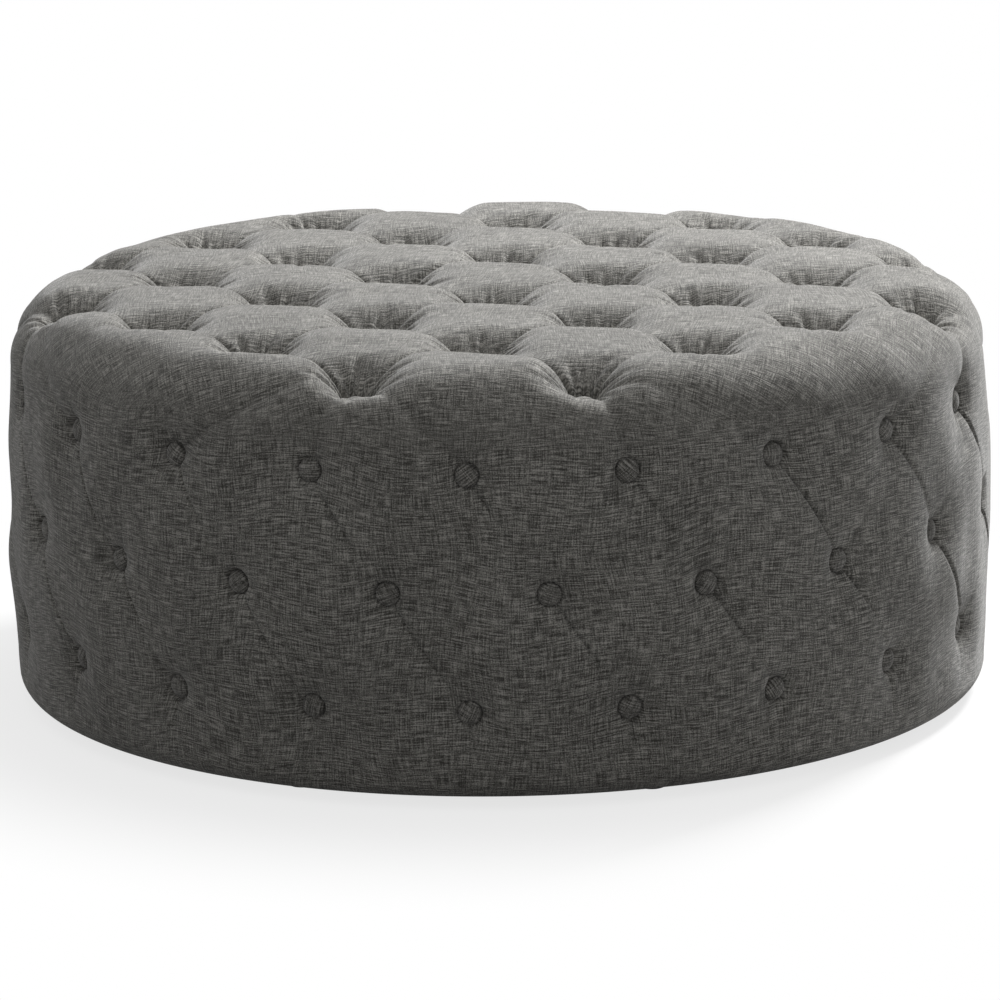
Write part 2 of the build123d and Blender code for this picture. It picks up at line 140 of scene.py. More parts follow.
# Pockets of the top, and the gathers that run out of them
SEAT_RADIUS = 0.0135
POCKET_RADIUS = 0.070
POCKET_POWER = 1.8
POCKET_SHARE = 0.66
POCKET_CORNERS = 4
POCKET_BULGE = 0.06
POCKET_SKEW = 0.16
POCKET_FOOT = 0.005
GATHER_DEPTH = 0.0080
GATHER_START = 0.013
GATHER_REACH = 0.068
GATHER_LEAST_WIDTH = 0.0013
GATHER_START_POWER = 4
FIRST_GATHER_ANGLES = (0, 0.4)
GATHER_STEPS = (0.27, 0.48)
GATHER_LENGTH_SHARES = (0.45, 1.0)
GATHER_BENDS = (-0.3, 0.3)
GATHER_WIDTH_SHARES = (0.07, 0.115)
GATHER_STRENGTHS = (0.2, 1.1)

# Dimples and wells of the side buttons
SIDE_SEED = 11
DIMPLE_DEPTH = 0.0100
DIMPLE_RADIUS = 0.080
DIMPLE_POWER = 2.0
FUNNEL_DEPTH = 0.0085
FUNNEL_RADIUS = 0.032
FUNNEL_POWER = 1.5
WELL_DEPTH = 0.0070
WELL_RADIUS = 0.0134
WELL_LIP_RADIUS = 0.0156
WELL_INNER_CATCH = 0.0004
WELL_OUTER_CATCH = 0.0008
SMALL_FOLDS = 5
SMALL_FOLD_LENGTHS = (0.012, 0.035)
SMALL_FOLD_DEPTHS = (0.0004, 0.0014)
SMALL_FOLD_WIDTH = 0.0025

# Pleats and hairline creases of the side
PLEAT_DEPTH = 0.0030
PLEAT_WIDTH = 0.014
PLEAT_POWER = 1.6
PLEAT_STEEP_SHARE = 0.35
PLEAT_MIDDLE_SHARE = 0.35
PLEAT_SAG_POWER = 1.2
LEFT_PLEAT_STRENGTHS = (0.0, 0.4)
RIGHT_PLEAT_STRENGTHS = (0.5, 1.2)
LOW_PLEAT_STRENGTHS = (0.3, 1.0)
LOW_PLEAT_DROP = 0.070
LOW_PLEAT_SWAY = 0.012
HAIRLINE_DEPTH = 0.0045
HAIRLINE_WIDTH = 0.0016
HAIRLINE_STRENGTHS = (0.35, 1.1)
HAIRLINE_END_SHARES = (0.5, 1.0)
HAIRLINE_RISE_SHARE = 0.2
HAIRLINE_FALL_SHARE = 0.3
LOW_HAIRLINE_STRENGTHS = (0.0, 0.9)
LOW_HAIRLINE_RISE_SHARE = 0.25
HAIRLINE_DROP = 0.060

# Grooves from the upper side buttons over the shoulder
GROOVE_REACH = 1.5 * SIDE_STEP
GROOVE_STRENGTHS = (0.4, 1.1)
GROOVE_PLEAT_DEPTH = 1.2 * PLEAT_DEPTH
GROOVE_PLEAT_WIDTH = 1.3 * PLEAT_WIDTH
GROOVE_PLEAT_POWER = 0.7
GROOVE_DEPTH = 0.007
GROOVE_WIDTH = 0.042
GROOVE_POWER = 1.8
GROOVE_FADE_POWER = 0.8
GROOVE_DIMPLE_SHARE = 0.6

# Unevenness of the whole cover, and the most that its side is pressed in
UNEVENNESS = 0.0012
WAVES = 14
WAVE_RATES = (25, 95)
WAVE_RUN_OUT = 0.03
WAVE_SEED = 3
SIDE_DEEPEST = 0.0176

# Stretches of the flat cover, as distances from the middle of the top
SHOULDER_CENTRE_RADIUS = OUTER_RADIUS - SHOULDER_LEAN - SHOULDER_RADIUS
SHOULDER_LEVEL = (
    TOP_LEVEL - CROWN * (SHOULDER_CENTRE_RADIUS / OUTER_RADIUS) ** 2 - SHOULDER_RADIUS
)
SHOULDER_END = SHOULDER_CENTRE_RADIUS + SHOULDER_RADIUS * math.pi / 2
BASE_EDGE_LEVEL = BASE_LEVEL + BASE_EDGE_RADIUS
SIDE_END = SHOULDER_END + SHOULDER_LEVEL - BASE_EDGE_LEVEL
EDGE_END = SIDE_END + BASE_EDGE_RADIUS * math.pi / 2
TOP_HOLLOWS_END = SHOULDER_END + 0.02
SIDE_HOLLOWS_START = 0.45
UPRIGHT_END = 0.555
UPRIGHT_RUN = 0.06
SIDE_WEAVE_START = 0.535
SIDE_WEAVE_RUN = 0.06


def top_level(radius):
    return TOP_LEVEL - CROWN * (radius / OUTER_RADIUS) ** 2


def side_radius(level):
    return OUTER_RADIUS - (level - SIDE_MIDDLE) ** 2 / (2 * SIDE_ARC_RADIUS)


EDGE_CENTRE_RADIUS = side_radius(BASE_EDGE_LEVEL) - BASE_EDGE_RADIUS
COVER_END = EDGE_END + EDGE_CENTRE_RADIUS - FLANGE_RADIUS


def make_camera():
    """Camera at the photograph's place, looking a little down at the front of the drum."""
    data = bpy.data.cameras.new("camera")
    camera = bpy.data.objects.new("camera", data)
    bpy.context.scene.collection.objects.link(camera)
    data.sensor_fit = "HORIZONTAL"
    data.sensor_width = SENSOR_WIDTH
    data.lens = SENSOR_WIDTH * FOCAL_PIXELS / FRAME_PIXELS
    data.clip_end = CAMERA_CLIP_END
    turn = Euler((math.pi / 2 - CAMERA_PITCH, 0, CAMERA_AZIMUTH)).to_matrix()
    turn = turn @ Matrix.Rotation(CAMERA_ROLL, 3, "Z")
    place = Vector((math.sin(CAMERA_AZIMUTH), -math.cos(CAMERA_AZIMUTH), 0)) * CAMERA_DISTANCE
    place.z = CAMERA_HEIGHT
    camera.matrix_world = Matrix.Translation(place) @ turn.to_4x4()
    bpy.context.scene.camera = camera


# Mesh helpers
def pick_pieces(pieces):
    """Select some pieces and nothing else, the last one active."""
    bpy.ops.object.select_all(action="DESELECT")
    for piece in pieces:
        piece.select_set(True)
    bpy.context.view_layer.objects.active = pieces[-1]


def edit(piece):
    """Start editing one piece with nothing selected."""
    pick_pieces([piece])
    bpy.ops.object.mode_set(mode="EDIT")
    bpy.ops.mesh.select_mode(type="VERT")
    bpy.ops.mesh.select_all(action="DESELECT")


def stop_editing():
    bpy.ops.object.mode_set(mode="OBJECT")


def coordinates(piece):
    flat = np.empty(len(piece.data.vertices) * 3)
    piece.data.vertices.foreach_get("co", flat)
    return flat.reshape(-1, 3)


def put_coordinates(piece, points):
    piece.data.vertices.foreach_set("co", points.ravel())
    piece.data.update()


def edge_ends(mesh):
    ends = np.empty(len(mesh.edges) * 2, dtype=int)
    mesh.edges.foreach_get("vertices", ends)
    return ends.reshape(-1, 2)


def corner_vertices(mesh):
    """The vertex at each corner of each face."""
    corners = np.empty(len(mesh.loops), dtype=int)
    mesh.loops.foreach_get("vertex_index", corners)
    return corners


def pick_vertices(piece, chosen):
    """Select vertices by a list of truths, and the edges between them."""
    mesh = piece.data
    mesh.vertices.foreach_set("select", chosen)
    mesh.edges.foreach_set("select", chosen[edge_ends(mesh)].all(axis=1))
    mesh.polygons.foreach_set("select", np.zeros(len(mesh.polygons), dtype=bool))


def new_piece(name, points, faces=(), spokes=0):
    """A piece from points, with faces, or with lines from each point to the next."""
    mesh = bpy.data.meshes.new(name)
    mesh.from_pydata(points, [(number, number + 1) for number in range(spokes)], faces)
    piece = bpy.data.objects.new(name, mesh)
    bpy.context.scene.collection.objects.link(piece)
    return piece


def spin_round(steps):
    """Spin all of the piece that is being edited once round the Z axis."""
    bpy.ops.mesh.select_all(action="SELECT")
    bpy.ops.mesh.spin(steps=steps, angle=2 * math.pi, center=(0, 0, 0), axis=(0, 0, 1))


def zip_rings(inner, outer):
    """Triangles between two rings of points round the same middle."""
    rings = []
    for ring in (inner, outer):
        turns = np.arctan2(ring[:, 1], ring[:, 0])
        order = np.argsort(turns)
        rings.append((ring[order], np.append(turns[order], turns[order][0] + 2 * math.pi)))
    (inner, inner_turns), (outer, outer_turns) = rings
    first, second = len(inner), len(outer)
    faces = []
    here, there = 0, 0
    while here < first or there < second:
        nearer = here < first and inner_turns[here + 1] <= outer_turns[min(there + 1, second)]
        step_in = there == second or nearer
        corner = (here + 1) % first if step_in else first + (there + 1) % second
        faces.append((here % first, first + there % second, corner))
        here, there = (here + 1, there) if step_in else (here, there + 1)
    points = [(x, y, 0) for x, y in np.concatenate([inner, outer])]
    return new_piece("between", points, faces)


def smooth_faces(piece):
    piece.data.polygons.foreach_set("use_smooth", np.ones(len(piece.data.polygons), dtype=bool))


# Places of the buttons, on the cover laid flat
def top_buttons():
    """Every other point of a square lattice, as many spacings out as the tufts reach."""
    steps = range(-LATTICE_STEPS, LATTICE_STEPS + 1)
    return np.array([
        (column * TUFT_SPACING, row * TUFT_SPACING)
        for column in steps
        for row in steps
        if (column + row) % 2 and math.hypot(column, row) <= TUFT_REACH_STEPS
    ])


def side_turns(row):
    """Angles of one row of side buttons; the middle row is half a step round."""
    offset = 0.5 if row == "middle" else 0.0
    return [-math.pi / 2 + (column + offset) * SIDE_STEP for column in range(SIDE_COLUMNS)]


def span_of(level):
    """How far down the cover, from the middle of the top, a level on the side is."""
    return SHOULDER_END + SHOULDER_LEVEL - level


def swing(turns, turn):
    """Angles measured from one turn, between minus and plus half a circle."""
    return (turns - turn + math.pi) % (2 * math.pi) - math.pi


def polar(plan):
    """Distance of flat places from the middle, and their turns round it."""
    return np.hypot(plan[:, 0], plan[:, 1]), np.arctan2(plan[:, 1], plan[:, 0])


def flat_side(turns, spans, turn, reach):
    """Which places lie within reach of a turn, and where they are on the side laid flat."""
    close = np.flatnonzero(np.abs(swing(turns, turn)) < reach)
    return close, np.stack([swing(turns[close], turn) * OUTER_RADIUS, spans[close]], axis=1)


def roll(spans):
    """Radius, level and outward lean of the drum's section at distances from its middle."""
    spans = np.asarray(spans)
    stretches = [
        spans <= SHOULDER_CENTRE_RADIUS,
        spans <= SHOULDER_END,
        spans <= SIDE_END,
        spans <= EDGE_END,
    ]
    lean = np.select(
        stretches,
        [
            2 * CROWN * spans / OUTER_RADIUS**2,
            (spans - SHOULDER_CENTRE_RADIUS) / SHOULDER_RADIUS,
            np.full(spans.shape, math.pi / 2),
            math.pi / 2 + (spans - SIDE_END) / BASE_EDGE_RADIUS,
        ],
        math.pi,
    )
    side_level = SHOULDER_LEVEL + SHOULDER_END - spans
    radius = np.select(
        stretches,
        [
            spans,
            SHOULDER_CENTRE_RADIUS + SHOULDER_RADIUS * np.sin(lean),
            side_radius(side_level),
            EDGE_CENTRE_RADIUS + BASE_EDGE_RADIUS * np.sin(lean),
        ],
        EDGE_CENTRE_RADIUS + EDGE_END - spans,
    )
    level = np.select(
        stretches,
        [
            top_level(spans),
            SHOULDER_LEVEL + SHOULDER_RADIUS * np.cos(lean),
            side_level,
            BASE_EDGE_LEVEL + BASE_EDGE_RADIUS * np.cos(lean),
        ],
        BASE_LEVEL,
    )
    return radius, level, lean


# The flat cover's mesh
def make_flat_grid(name):
    """A grid along the tufts' diagonals, trimmed to a disc."""
    count = round(GRID_REACH / GRID_STEP) + 1
    bpy.ops.object.select_all(action="DESELECT")
    bpy.ops.mesh.primitive_grid_add(
        x_subdivisions=2 * count, y_subdivisions=2 * count, size=2 * count * GRID_STEP
    )
    grid = bpy.context.object
    grid.name = name
    grid.data.name = name
    points = coordinates(grid)
    points[:, :2] = (points[:, :2] @ np.array([[1, 1], [-1, 1]])) / math.sqrt(2)
    put_coordinates(grid, points)
    pick_vertices(grid, np.hypot(points[:, 0], points[:, 1]) > GRID_REACH)
    bpy.ops.object.mode_set(mode="EDIT")
    bpy.ops.mesh.select_mode(type="VERT")
    bpy.ops.mesh.delete(type="VERT")
    stop_editing()
    return grid


def border_vertices(piece):
    """Vertices on the edges that only one face uses."""
    uses = np.zeros(len(piece.data.edges), dtype=int)
    lines = np.empty(len(piece.data.loops), dtype=int)
    piece.data.loops.foreach_get("edge_index", lines)
    np.add.at(uses, lines, 1)
    return np.unique(edge_ends(piece.data)[uses == 1])


def make_flat_cover(name):
    """The cover as a flat disc: the tufts' grid inside even rings."""
    cover = make_flat_grid(name)
    rings = np.arange(GRID_REACH + RING_STEP, EDGE_END, RING_STEP)
    rings = np.concatenate([rings, np.linspace(EDGE_END, COVER_END, FLANGE_RINGS)])
    outside = new_piece("rings", [(ring, 0, 0) for ring in rings], spokes=len(rings) - 1)
    edit(outside)
    spin_round(RING_COLUMNS)
    stop_editing()
    turns = 2 * math.pi * np.arange(RING_COLUMNS) / RING_COLUMNS
    circle = rings[0] * np.stack([np.cos(turns), np.sin(turns)], axis=1)
    between = zip_rings(coordinates(cover)[border_vertices(cover), :2], circle)
    pick_pieces([between, outside, cover])
    bpy.ops.object.join()
    edit(cover)
    bpy.ops.mesh.select_all(action="SELECT")
    bpy.ops.mesh.remove_doubles(threshold=MERGE_DISTANCE)
    stop_editing()
    return cover


def refine(cover, nearness, reach):
    """Halve the faces that lie within reach, as nearness measures it."""
    centres = np.empty(len(cover.data.polygons) * 3)
    cover.data.polygons.foreach_get("center", centres)
    edit(cover)
    bpy.ops.mesh.select_mode(type="FACE")
    stop_editing()
    cover.data.polygons.foreach_set("select", nearness(centres.reshape(-1, 3)[:, :2]) < reach)
    bpy.ops.object.mode_set(mode="EDIT")
    bpy.ops.mesh.subdivide(number_cuts=1)
    stop_editing()


def near_top_buttons(plan):
    nearest = np.full(len(plan), np.inf)
    for button in top_buttons():
        nearest = np.minimum(nearest, np.hypot(*(plan - button).T))
    return nearest


def near_side_buttons(plan):
    spans, turns = polar(plan)
    nearest = np.full(len(plan), np.inf)
    for row, level in SIDE_ROWS.items():
        for turn in side_turns(row):
            away = np.hypot(swing(turns, turn) * OUTER_RADIUS, spans - span_of(level))
            nearest = np.minimum(nearest, away)
    return nearest


def crease_ends():
    """Neighbouring top buttons, two by two: a crease joins each pair."""
    buttons = top_buttons()
    return [
        (start, end)
        for first, start in enumerate(buttons)
        for end in buttons[first + 1:]
        if abs(np.hypot(*(end - start)) - 2 * HALF_CELL) < PAIR_TOLERANCE
    ]


def near_creases(plan):
    nearest = np.full(len(plan), np.inf)
    for start, end in crease_ends():
        close = np.flatnonzero(np.hypot(*(plan - (start + end) / 2).T) < CREASE_HALF_REACH)
        nearest[close] = np.minimum(nearest[close], np.abs(along(plan[close], start, end)[1]))
    return nearest


def near_hairlines(plan):
    """Distance from the lines that run down from each side button."""
    spans, turns = polar(plan)
    nearest = np.full(len(plan), np.inf)
    for upper, lower in ROWS_DOWN:
        start = (0.0, span_of(SIDE_ROWS[upper]))
        end = (SIDE_HALF_ARC, span_of(SIDE_ROWS[lower]))
        for turn in side_turns(upper):
            close, flat = flat_side(turns, spans, turn, SIDE_STEP)
            nearest[close] = np.minimum(nearest[close], np.abs(along(flat, start, end)[1]))
    lowest = span_of(SIDE_ROWS["lower"])
    below = (spans > lowest) & (spans < lowest + HAIRLINE_DROP)
    for turn in side_turns("lower"):
        across = np.where(below, np.abs(swing(turns, turn)) * OUTER_RADIUS, np.inf)
        nearest = np.minimum(nearest, across)
    return nearest


# The hollows
def dip(distance, width, power):
    """Hollow that is deepest at distance 0 and runs out smoothly at width."""
    return np.clip(1 - distance / width, 0, 1) ** power


def bell(distance, width):
    """Rounded hollow that is deepest at distance 0 and never quite runs out."""
    return np.exp(-((distance / width) ** 2))


def along(points, start, end):
    """How far each point lies along a line, from 0 to 1, and its signed distance from it."""
    line = np.subtract(end, start)
    length = np.hypot(*line)
    line = line / length
    offset = points - start
    share = np.clip(offset @ line / length, 0, 1)
    gap = offset - share[:, None] * line * length
    side = np.sign(offset[:, 0] * line[1] - offset[:, 1] * line[0])
    return share, np.hypot(gap[:, 0], gap[:, 1]) * side


def deepen(depth, close, press):
    """Press some places down to a depth, unless they are deeper."""
    depth[close] = np.maximum(depth[close], press)


def front_side(line):
    """1 if the right-hand side of a line in plan is the one nearer the front, else -1."""
    return 1 if line[0] > 0 else -1


def top_creases(plan, random):
    """Depth of the creases, their distance by kind, and how far the folds lean over."""
    nearest = {kind: np.full(len(plan), HALF_CELL) for kind in (SOFT, FOLDED)}
    crease = np.zeros(len(plan))
    shift = np.zeros((len(plan), 2))
    for start, end in crease_ends():
        line = end - start
        length = np.hypot(*line)
        kind = SOFT if line[0] * line[1] > 0 else FOLDED
        close = np.flatnonzero(np.hypot(*(plan - (start + end) / 2).T) < 2 * HALF_CELL)
        share, gap = along(plan[close], start, end)
        nearest[kind][close] = np.minimum(nearest[kind][close], np.abs(gap))
        gap = gap * front_side(line)
        from_end = np.minimum(share, 1 - share) * length
        start_in = np.clip(from_end / SEAT_RADIUS, 0, 1)
        if kind == FOLDED:
            cut = STEP_DEPTH * bell(from_end, STEP_RUN) + STEP_LEAST
            width = np.where(gap > 0, STEP_NEAR_WIDTH, STEP_FAR_WIDTH)
        else:
            cut = SOFT_DEPTH * bell(share * length, SOFT_RUN) + SOFT_LEAST
            width = SOFT_WIDTH
        cut = cut * random.uniform(*CREASE_STRENGTHS) * start_in * np.exp(-np.abs(gap) / width)
        slit = SLIT_DEPTH * (bell(from_end, SLIT_RUN) + SLIT_LEAST) * start_in
        slit = slit * (1.0 if kind == FOLDED else random.uniform(*SOFT_SLIT_STRENGTHS))
        deepen(crease, close, cut + slit * bell(gap, SLIT_WIDTH))
        lean = FOLD_LEAN * bell(gap, FOLD_WIDTH) * start_in * (kind == FOLDED)
        across = np.array((line[1], -line[0])) / length * front_side(line)
        shift[close] += lean[:, None] * across
    return crease, nearest, shift


def gathers_round(reach, turn, random):
    """Depth of the folds that fan out from one top button."""
    gather = np.zeros(len(reach))
    angle = random.uniform(*FIRST_GATHER_ANGLES)
    while angle < 2 * math.pi:
        length = random.uniform(*GATHER_LENGTH_SHARES) * GATHER_REACH
        bend = random.uniform(*GATHER_BENDS)
        width = np.maximum(reach * random.uniform(*GATHER_WIDTH_SHARES), GATHER_LEAST_WIDTH)
        height = GATHER_DEPTH * random.uniform(*GATHER_STRENGTHS)
        gap = swing(turn, angle + bend * (reach - GATHER_START) / GATHER_REACH) * reach
        run = np.clip((reach - GATHER_START) / length, 0, 1)
        rise = np.clip(reach / GATHER_START, 0, 1) ** GATHER_START_POWER * (1 - run)
        gather += height * rise * bell(gap, width)
        angle += random.uniform(*GATHER_STEPS)
    return gather


def top_pockets(plan, random):
    """Share of the seats' depth that the pockets reach, and the depth of their gathers."""
    pocket = np.zeros(len(plan))
    gather = np.zeros(len(plan))
    for button in top_buttons():
        away, around = polar(plan - button)
        close = np.flatnonzero(away < 2 * HALF_CELL)
        reach, turn = away[close], around[close]
        outside = np.maximum(reach - SEAT_RADIUS, 0)
        wide = 1 - POCKET_BULGE * np.cos(POCKET_CORNERS * turn) + POCKET_SKEW * np.cos(turn)
        wide = (POCKET_RADIUS - SEAT_RADIUS) * wide
        bowl = POCKET_SHARE * dip(outside, wide, POCKET_POWER)
        deepen(pocket, close, bowl + (1 - POCKET_SHARE) * np.exp(-outside / POCKET_FOOT))
        gather[close] += gathers_round(reach, turn, random)
    return pocket, gather


def hollow_of_top(plan):
    """Depth of the diamond tufts, and how far the folds lean over, at places on the flat top."""
    random = np.random.default_rng(TOP_SEED)
    crease, nearest, shift = top_creases(plan, random)
    pillow = 1.0
    for kind, distance in nearest.items():
        pillow = pillow * (1 - DOME_SHARES[kind] * (1 - distance / HALF_CELL) ** 2)
    pocket, gather = top_pockets(plan, random)
    soft = DOME_DEPTH * (1 - pillow**DOME_POWER) + crease
    depth = soft + (TOP_SEAT_DEPTH - soft) * pocket + gather
    return depth, shift * (1 - pocket)[:, None]


def side_dimples(turns, spans, random):
    """Depth of the dimple and well of each side button, with the small folds round it."""
    depth = np.zeros(len(turns))
    for row, level in SIDE_ROWS.items():
        for turn in side_turns(row):
            close, flat = flat_side(turns, spans, turn, 2 * DIMPLE_RADIUS / OUTER_RADIUS)
            away, around = polar(flat - (0.0, span_of(level)))
            dimple = DIMPLE_DEPTH * dip(away, DIMPLE_RADIUS, DIMPLE_POWER)
            funnel = FUNNEL_DEPTH * dip(away, FUNNEL_RADIUS, FUNNEL_POWER)
            wall = np.clip((WELL_LIP_RADIUS - away) / (WELL_LIP_RADIUS - WELL_RADIUS), 0, 1)
            deepen(depth, close, dimple + funnel + WELL_DEPTH * wall)
            folds = np.zeros(len(close))
            for _ in range(SMALL_FOLDS):
                angle = random.uniform(0, 2 * math.pi)
                length = random.uniform(*SMALL_FOLD_LENGTHS)
                height = random.uniform(*SMALL_FOLD_DEPTHS)
                run = np.clip((away - WELL_LIP_RADIUS) / length, 0, 1)
                gap = swing(around, angle) * away
                folds += height * (away > WELL_LIP_RADIUS) * (1 - run) * bell(gap, SMALL_FOLD_WIDTH)
            depth[close] += folds
    return depth


def fold_across(gap, width):
    """Section of a pleat, steep on one side."""
    steep = np.where(gap > 0, PLEAT_STEEP_SHARE, 1.0)
    return dip(np.abs(gap), width * steep, PLEAT_POWER)


def pleats_between_rows(turns, spans, random, pleats, hairlines):
    """Press in the creases from each side button to its two neighbours in the row below."""
    for upper, lower in ROWS_DOWN:
        start = (0.0, span_of(SIDE_ROWS[upper]))
        low = span_of(SIDE_ROWS[lower])
        for turn in side_turns(upper):
            close, flat = flat_side(turns, spans, turn, SIDE_STEP)
            share, gap = along(flat, start, (SIDE_HALF_ARC, low))
            press = HAIRLINE_DEPTH * random.uniform(*HAIRLINE_STRENGTHS) * bell(gap, HAIRLINE_WIDTH)
            last = random.uniform(*HAIRLINE_END_SHARES)
            press = press * np.clip(share / HAIRLINE_RISE_SHARE, 0, 1)
            deepen(hairlines, close, press * np.clip((last - share) / HAIRLINE_FALL_SHARE, 0, 1))
            for side, strengths in ((-1, LEFT_PLEAT_STRENGTHS), (1, RIGHT_PLEAT_STRENGTHS)):
                strength = PLEAT_DEPTH * random.uniform(*strengths)
                share, gap = along(flat, start, (side * SIDE_HALF_ARC, low))
                sag = (1 - PLEAT_MIDDLE_SHARE) * np.abs(2 * share - 1) ** PLEAT_SAG_POWER
                press = strength * (PLEAT_MIDDLE_SHARE + sag) * fold_across(gap, PLEAT_WIDTH)
                deepen(pleats, close, press)


def pleats_below_rows(turns, spans, random, pleats, hairlines):
    """Press in the creases that run straight down from the lowest side buttons."""
    span = span_of(SIDE_ROWS["lower"])
    for turn in side_turns("lower"):
        close, flat = flat_side(turns, spans, turn, SIDE_STEP)
        share, gap = along(flat, (0.0, span), (0.0, span + HAIRLINE_DROP))
        press = HAIRLINE_DEPTH * random.uniform(*LOW_HAIRLINE_STRENGTHS) * bell(gap, HAIRLINE_WIDTH)
        press = press * np.clip(share / LOW_HAIRLINE_RISE_SHARE, 0, 1) * (1 - share)
        deepen(hairlines, close, press)
        sway = random.uniform(-LOW_PLEAT_SWAY, LOW_PLEAT_SWAY)
        strength = PLEAT_DEPTH * random.uniform(*LOW_PLEAT_STRENGTHS)
        share, gap = along(flat, (0.0, span), (sway, span + LOW_PLEAT_DROP))
        deepen(pleats, close, strength * (1 - share) * fold_across(gap, PLEAT_WIDTH))


def grooves_over_shoulder(turns, spans, random, pleats, depth):
    """Press in a pleat and a groove from each upper side button towards the nearest tuft."""
    outer = [place for place in top_buttons() if np.hypot(*place) > OUTER_TUFT_DISTANCE]
    span = span_of(SIDE_ROWS["upper"])
    for turn in side_turns("upper"):
        place = min(outer, key=lambda spot: abs(swing(math.atan2(spot[1], spot[0]), turn)))
        reach = np.hypot(*place)
        aside = swing(math.atan2(place[1], place[0]), turn)
        close, flat = flat_side(turns, spans, turn, GROOVE_REACH)
        strength = random.uniform(*GROOVE_STRENGTHS)
        end = (aside * (OUTER_RADIUS + reach) / 2, reach)
        share, gap = along(flat, (0.0, span), end)
        press = GROOVE_PLEAT_DEPTH * strength * (1 - share) ** GROOVE_PLEAT_POWER
        deepen(pleats, close, press * fold_across(gap, GROOVE_PLEAT_WIDTH))
        groove = GROOVE_DEPTH * strength * dip(np.abs(gap), GROOVE_WIDTH, GROOVE_POWER)
        groove = groove * (1 - share) ** GROOVE_FADE_POWER
        deepen(depth, close, groove + GROOVE_DIMPLE_SHARE * depth[close])


def hollow_of_side(turns, spans):
    """Depth of the dimples, pleats and creases round the side."""
    random = np.random.default_rng(SIDE_SEED)
    depth = side_dimples(turns, spans, random)
    pleats = np.zeros(len(turns))
    hairlines = np.zeros(len(turns))
    pleats_between_rows(turns, spans, random, pleats, hairlines)
    pleats_below_rows(turns, spans, random, pleats, hairlines)
    grooves_over_shoulder(turns, spans, random, pleats, depth)
    return depth + pleats + hairlines


def waves_over(points, spans):
    """Slight unevenness, as waves that cross the whole cover."""
    random = np.random.default_rng(WAVE_SEED)
    waves = np.zeros(len(points))
    for _ in range(WAVES):
        direction = random.normal(size=3)
        direction /= np.linalg.norm(direction)
        rate = random.uniform(*WAVE_RATES)
        waves += np.sin(points @ direction * rate + random.uniform(0, 2 * math.pi))
    waves = waves / WAVES**0.5 + 1
    return UNEVENNESS * waves * np.clip((SIDE_END - spans) / WAVE_RUN_OUT, 0, 1)


# The cover
def draw_to_wells(spans, turns):
    """Move vertices next to a side button onto the rim and foot of the well it sits in."""
    between = (WELL_RADIUS + WELL_LIP_RADIUS) / 2
    rings = (
        (WELL_RADIUS, BUTTON_RADIUS - WELL_INNER_CATCH, between),
        (WELL_LIP_RADIUS, between, WELL_LIP_RADIUS + WELL_OUTER_CATCH),
    )
    for row, level in SIDE_ROWS.items():
        for turn in side_turns(row):
            across = swing(turns, turn) * OUTER_RADIUS
            down = spans - span_of(level)
            away = np.hypot(across, down)
            for ring, low, high in rings:
                close = (away > low) & (away <= high)
                turns[close] = turn + across[close] * ring / away[close] / OUTER_RADIUS
                spans[close] = span_of(level) + down[close] * ring / away[close]


def shape_cover(cover):
    """Roll the flat cover over the drum and press the tufts, dimples and pleats into it."""
    spans, turns = polar(coordinates(cover))
    draw_to_wells(spans, turns)
    plan = np.stack([spans * np.cos(turns), spans * np.sin(turns)], axis=1)

    depth = np.zeros(len(plan))
    side_depth = np.zeros(len(plan))
    shift = np.zeros_like(plan)
    near_top = np.flatnonzero(spans < TOP_HOLLOWS_END)
    depth[near_top], shift[near_top] = hollow_of_top(plan[near_top])
    near_side = np.flatnonzero((spans > SIDE_HOLLOWS_START) & (spans < EDGE_END))
    side_depth[near_side] = hollow_of_side(turns[near_side], spans[near_side])
    side_depth *= np.clip((EDGE_END - spans) / (2 * BASE_EDGE_RADIUS), 0, 1)

    moved_spans, moved_turns = polar(plan + shift)
    radius, level, lean = roll(moved_spans)
    outward = np.stack(
        [np.sin(lean) * np.cos(moved_turns), np.sin(lean) * np.sin(moved_turns), np.cos(lean)], axis=1
    )
    upright = np.clip((UPRIGHT_END - moved_spans) / UPRIGHT_RUN, 0, 1)[:, None]
    up = outward * (1 - upright) + np.array((0, 0, 1)) * upright
    up /= np.linalg.norm(up, axis=1)[:, None]
    points = np.stack([radius * np.cos(moved_turns), radius * np.sin(moved_turns), level], axis=1)
    pressed = np.minimum(side_depth + waves_over(points, spans), SIDE_DEEPEST)
    points -= up * depth[:, None] + outward * pressed[:, None]
    points[spans > COVER_END - RIM_TOLERANCE, 2] = FLANGE_TOP
    put_coordinates(cover, points)
    return plan, spans, turns


def close_base(cover, spans):
    """Close the cover inside its flange."""
    edit(cover)
    stop_editing()
    pick_vertices(cover, spans > COVER_END - RIM_TOLERANCE)
    bpy.ops.object.mode_set(mode="EDIT")
    bpy.ops.mesh.edge_face_add()
    bpy.ops.mesh.select_all(action="SELECT")
    bpy.ops.mesh.normals_make_consistent(inside=False)
    stop_editing()


def set_side_share(mesh, shares):
    """How much of the side's weave, rather than the top's, each vertex shows."""
    mesh.attributes.new("side_share", "FLOAT", "POINT").data.foreach_set("value", shares)


